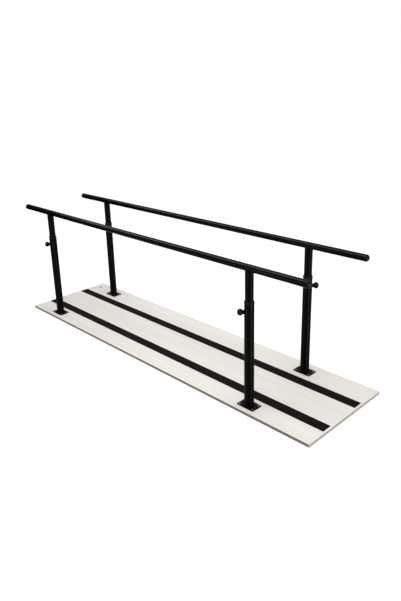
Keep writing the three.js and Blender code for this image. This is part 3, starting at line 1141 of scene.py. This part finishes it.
knob = turned("plunger_knob", [
    (0, KNOB_BORE_END), (SHANK_BORE, KNOB_BORE_END), (SHANK_BORE, KNOB_FLOOR),
    (HOOD_RADIUS, KNOB_FLOOR, 0.5), (HOOD_RADIUS, KNOB_START, 0.4),
    (KNOB_BACK_RADIUS, KNOB_START, 0.8), *ball_back(), *dome(KNOB_RADIUS, KNOB_WIDEST, KNOB_END),
], TURNED_SIDES)
put_at_posts("plunger_knob", knob, across_post, plastic)
print("knobs are", 2 * KNOB_RADIUS, "mm wide and", round(KNOB_END - KNOB_START), "mm long")

# %% [markdown]
# ## The studio
# The object stands on a plain pale floor in front of white. The floor is a dull white plane.
# To the camera and to reflections it also glows, so that it reaches full white but still
# darkens where the object stands in the light's way.

# %% Floor
FLOOR_SIZE = 120
FLOOR_DROP = 0.0004
FLOOR_GLOW = 0.83


def seen_directly(tree):
    """1 for rays from the camera, a reflection or through glass, and 0 for stray light."""
    rays = node(tree, "ShaderNodeLightPath", {}, "Is Camera Ray").node.outputs
    seen = rays["Is Camera Ray"]
    for kind in ("Is Glossy Ray", "Is Transmission Ray"):
        seen = node(tree, "ShaderNodeMath", {0: seen, 1: rays[kind]}, "Value", operation="MAXIMUM")
    return seen


def only_surface(tree, surface):
    """Shows one shader in place of the main one."""
    tree.nodes.remove(tree.nodes["Principled BSDF"])
    set_inputs(tree, tree.nodes["Material Output"], {"Surface": surface})


def diffuse(tree, grey):
    return node(tree, "ShaderNodeBsdfDiffuse", {"Color": srgb(grey, grey, grey)}, "BSDF")


finish, tree = new_finish("white_studio_floor")
glow = node(tree, "ShaderNodeEmission", {"Color": WHITE, "Strength": FLOOR_GLOW}, "Emission")
bright = node(tree, "ShaderNodeAddShader", {0: diffuse(tree, 175), 1: glow}, "Shader")
either = {0: seen_directly(tree), 1: diffuse(tree, 232), 2: bright}
only_surface(tree, node(tree, "ShaderNodeMixShader", either, "Shader"))
bpy.ops.mesh.primitive_plane_add(size=FLOOR_SIZE, location=(0, 0, -FLOOR_DROP))
floor = bpy.context.object
floor.name = "studio_floor"
floor.data.materials.append(finish)
floor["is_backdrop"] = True
print("the floor is", FLOOR_SIZE, "m wide")

# %% [markdown]
# Black things are photographed with black cards just out of the picture: dark surfaces
# mirror them instead of the white room and stay black. One card lies past the left end and
# one stands behind it. They block no light and show only in reflections.

# %% Black cards
CARD_NEAR_X, CARD_FAR_X = -1.6, -5.6
CARD_YS = (-3.2, 2.6)
CARD_LOW, CARD_HIGH = 0.001, 3.2

finish, tree = new_finish("black_card")
only_surface(tree, diffuse(tree, 12))
profile = ((CARD_NEAR_X, CARD_LOW), (CARD_FAR_X, CARD_LOW), (CARD_FAR_X, CARD_HIGH))
card_mesh = bpy.data.meshes.new("black_cards")
corners = [(x, y, z) for x, z in profile for y in CARD_YS]
card_mesh.from_pydata(corners, [], [(0, 1, 3, 2), (2, 3, 5, 4)])
card_mesh.materials.append(finish)
cards = new_object("black_cards", card_mesh)
cards.visible_camera = cards.visible_diffuse = False
cards.visible_transmission = cards.visible_shadow = False
cards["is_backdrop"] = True
print("the black cards are", [round(size, 2) for size in cards.dimensions], "m")

# %% [markdown]
# The world is the room round the object. Like the floor it is white to look at, and dimmer
# as a source of light, so that it fills the shadows without washing out the colours.

# %% World
WORLD_LIGHT = 0.4

world = bpy.data.worlds.new("white_studio")
world.use_nodes = True
tree = world.node_tree
dim = tree.nodes["Background"]
set_inputs(tree, dim, {"Color": WHITE, "Strength": WORLD_LIGHT})
white = node(tree, "ShaderNodeBackground", {"Color": WHITE, "Strength": 1.0}, "Background")
either = {0: seen_directly(tree), 1: dim.outputs["Background"], 2: white}
mix = node(tree, "ShaderNodeMixShader", either, "Shader")
set_inputs(tree, tree.nodes["World Output"], {"Surface": mix})
bpy.context.scene.world = world
bpy.context.scene.view_settings.view_transform = "Standard"
print("world:", world.name)

# %% [markdown]
# One large soft box under the ceiling lights the object, so the tubes throw no hard shadows
# on the deck. Three narrow boxes only show in reflections: one over the rails draws the grey
# band along their tops, and two low ones draw the long streaks on the uprights.

# %% Lamps
def soft_box(name, place, target, size, power, lights_surfaces=True):
    """An area lamp aimed at target. Without lights_surfaces it only shows in reflections."""
    data = bpy.data.lights.new(name, "AREA")
    data.shape = "RECTANGLE"
    data.size, data.size_y = size
    data.energy = power
    lamp = new_object(name, data)
    lamp.location = place
    aim = Vector(target) - Vector(place)
    lamp.rotation_euler = aim.to_track_quat("-Z", "Y").to_euler()
    lamp.visible_diffuse = lights_surfaces
    return lamp


lamps = [
    soft_box("ceiling_box", (0.5, -0.3, 4.5), (0.5, -0.3, 0), (4.5, 4.5), 175),
    soft_box("rail_band", (-2.2, -1.1, 3.6), (-2.2, -1.1, 0), (6.4, 0.6), 440, False),
    soft_box("right_streak", (4.3, -0.5, 0.32), (0.9, -0.3, 0.3), (0.2, 0.6), 165, False),
    soft_box("left_streak", (-0.9, -4.2, 0.8), (0.5, 0, 0.4), (0.3, 1.6), 40, False),
]
print("lamps:", ", ".join(lamp.name for lamp in lamps))

# %% [markdown]
# The camera stands in front of the right end, at about eye level, and looks down along the
# bars. Its place and direction were found by matching rails, posts and deck edges with the
# photo. A small lens shift moves the object in the picture without turning the camera.

# %% Camera
camera_data = bpy.data.cameras.new("photo_camera")
camera_data.lens = 34.572
camera_data.sensor_width = 36
camera_data.shift_x = 0.0341
camera_data.shift_y = -0.0657
camera_data.clip_end = 200
camera = new_object("photo_camera", camera_data)
camera.location = (2.73978, -2.45314, 1.81697)
camera.rotation_euler = [math.radians(angle) for angle in (71.7562, 2.0551, 46.7889)]
bpy.context.scene.camera = camera
print("the camera is", round(camera.location.length, 2), "m from the middle of the deck")

# %% Sizes of the model and of the dressed pieces
boxes = {"cad": cad_box, "visual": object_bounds()}
sizes = {name: [list(corner) for corner in box] for name, box in boxes.items()}
print("pieces shown:", len(shown))
for name, box in sizes.items():
    print(name, "box:", [round(value, 4) for corner in box for value in corner])
